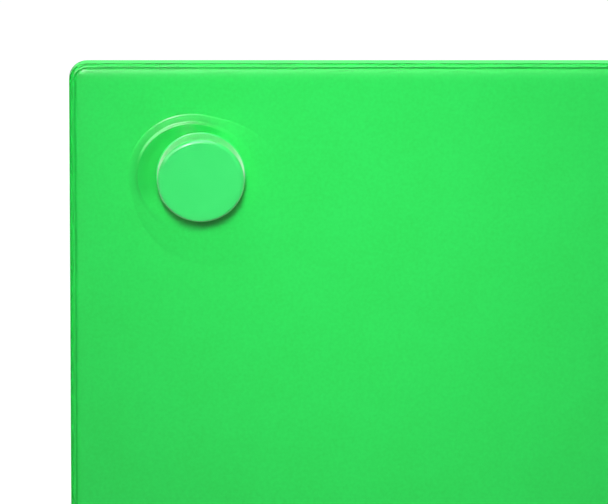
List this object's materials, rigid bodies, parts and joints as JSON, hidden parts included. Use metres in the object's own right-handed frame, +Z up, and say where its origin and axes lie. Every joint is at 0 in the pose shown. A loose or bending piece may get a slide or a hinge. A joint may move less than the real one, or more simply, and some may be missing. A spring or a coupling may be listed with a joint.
{
  "type": "magnet holder panel",
  "caption": "Flat green wall panel with welded vinyl skins over a steel sheet, holding papers under round pull-off magnets on raised corner bosses.",
  "frame": {"origin": "middle of the flat back face, where the panel meets the wall", "axes": "+X to the right along the long side, +Y from the front into the wall, +Z up along the short side; the magnets stand on the -Y side"},
  "size_m": [0.4, 0.0098, 0.3],
  "materials": {
    "green_vinyl": "glossy plasticised vinyl sheet, smooth",
    "green_cap": "glossy moulded plastic",
    "steel_sheet": "cold-rolled steel sheet",
    "zinc_plated_steel": "bright zinc plate",
    "nickel_plated_magnet": "bright nickel plate",
    "magnet_rubber": "matt rubber-bound ferrite",
    "foam_board": "matt foamed plastic board",
    "soft_pad": "matt thin foam rubber"
  },
  "bodies": {
    "panel": {"front_skin": "green_vinyl", "rear_skin": "green_vinyl", "core_sheet": "steel_sheet", "magnetic_strip_top": "magnet_rubber", "magnetic_strip_bottom": "magnet_rubber", "spacer_board": "foam_board", "keeper_disc_top_left": "steel_sheet", "keeper_disc_top_right": "steel_sheet", "keeper_disc_bottom_left": "steel_sheet", "keeper_disc_bottom_right": "steel_sheet"},
    "magnet_top_left": {"magnet_cap_top_left": "green_cap", "magnet_cup_top_left": "zinc_plated_steel", "magnet_disc_top_left": "nickel_plated_magnet", "magnet_pad_top_left": "soft_pad"},
    "magnet_top_right": {"magnet_cap_top_right": "green_cap", "magnet_cup_top_right": "zinc_plated_steel", "magnet_disc_top_right": "nickel_plated_magnet", "magnet_pad_top_right": "soft_pad"},
    "magnet_bottom_left": {"magnet_cap_bottom_left": "green_cap", "magnet_cup_bottom_left": "zinc_plated_steel", "magnet_disc_bottom_left": "nickel_plated_magnet", "magnet_pad_bottom_left": "soft_pad"},
    "magnet_bottom_right": {"magnet_cap_bottom_right": "green_cap", "magnet_cup_bottom_right": "zinc_plated_steel", "magnet_disc_bottom_right": "nickel_plated_magnet", "magnet_pad_bottom_right": "soft_pad"}
  },
  "joints": [
    {"name": "pull_off_top_left", "type": "slide", "parent": "panel", "child": "magnet_top_left", "axis": [0, -1, 0], "range_m": [0, 0.03]},
    {"name": "pull_off_top_right", "type": "slide", "parent": "panel", "child": "magnet_top_right", "axis": [0, -1, 0], "range_m": [0, 0.03]},
    {"name": "pull_off_bottom_left", "type": "slide", "parent": "panel", "child": "magnet_bottom_left", "axis": [0, -1, 0], "range_m": [0, 0.03]},
    {"name": "pull_off_bottom_right", "type": "slide", "parent": "panel", "child": "magnet_bottom_right", "axis": [0, -1, 0], "range_m": [0, 0.03]}
  ]
}
